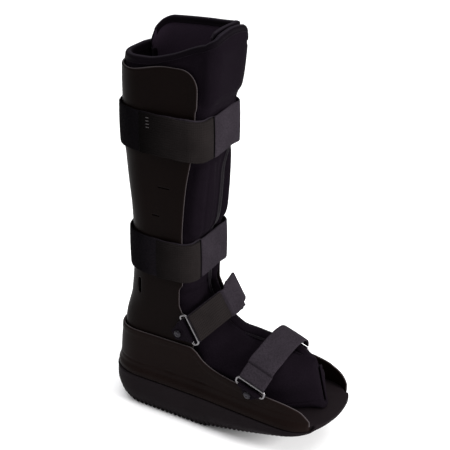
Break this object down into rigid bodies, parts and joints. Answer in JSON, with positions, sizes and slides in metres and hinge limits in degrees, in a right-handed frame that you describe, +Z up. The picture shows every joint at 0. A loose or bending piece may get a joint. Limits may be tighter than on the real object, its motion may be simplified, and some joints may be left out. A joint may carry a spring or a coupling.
{
  "type": "medical walking boot",
  "caption": "Tall padded walking boot with a rocker sole, a moulded foot shell and rear leg shell, a wrap liner, calf straps, and ankle and toe straps on wire rings.",
  "frame": {"origin": "middle of the bounding box in plan, at the bottom of the tread", "axes": "+Z up, +X towards the toe, +Y towards the side away from the picture's camera"},
  "size_m": [0.2702, 0.1167, 0.44],
  "materials": {
    "rubber": "moulded, matt, near black",
    "shell": "injection moulded, fine satin grain, near black",
    "padding": "brushed loop cloth over foam, near black with a purple cast",
    "pile": "loop pile strap, charcoal",
    "webbing": "woven strap end, dark grey",
    "steel": "plated wire and rivets, bright",
    "tab": "satin, near black"
  },
  "bodies": {
    "root": {"outsole": "rubber", "foot_shell": "shell", "leg_shell": "shell", "liner": "padding", "liner_far_flap": "padding", "calf_strap_upper": "pile", "calf_strap_lower": "pile", "calf_strap_upper_end": "webbing", "calf_strap_lower_end": "webbing", "ankle_strap": "pile", "ankle_strap_end": "webbing", "ankle_strap_tab": "pile", "toe_strap": "pile", "toe_strap_end": "pile", "ring_ankle_near": "steel", "tab_ankle_near": "tab", "rivet_ankle_near": "steel", "ring_toe_near": "steel", "tab_toe_near": "tab", "rivet_toe_near": "steel", "ring_ankle_far": "steel", "tab_ankle_far": "tab", "rivet_ankle_far": "steel", "ring_toe_far": "steel", "tab_toe_far": "tab", "rivet_toe_far": "steel"}
  },
  "joints": []
}
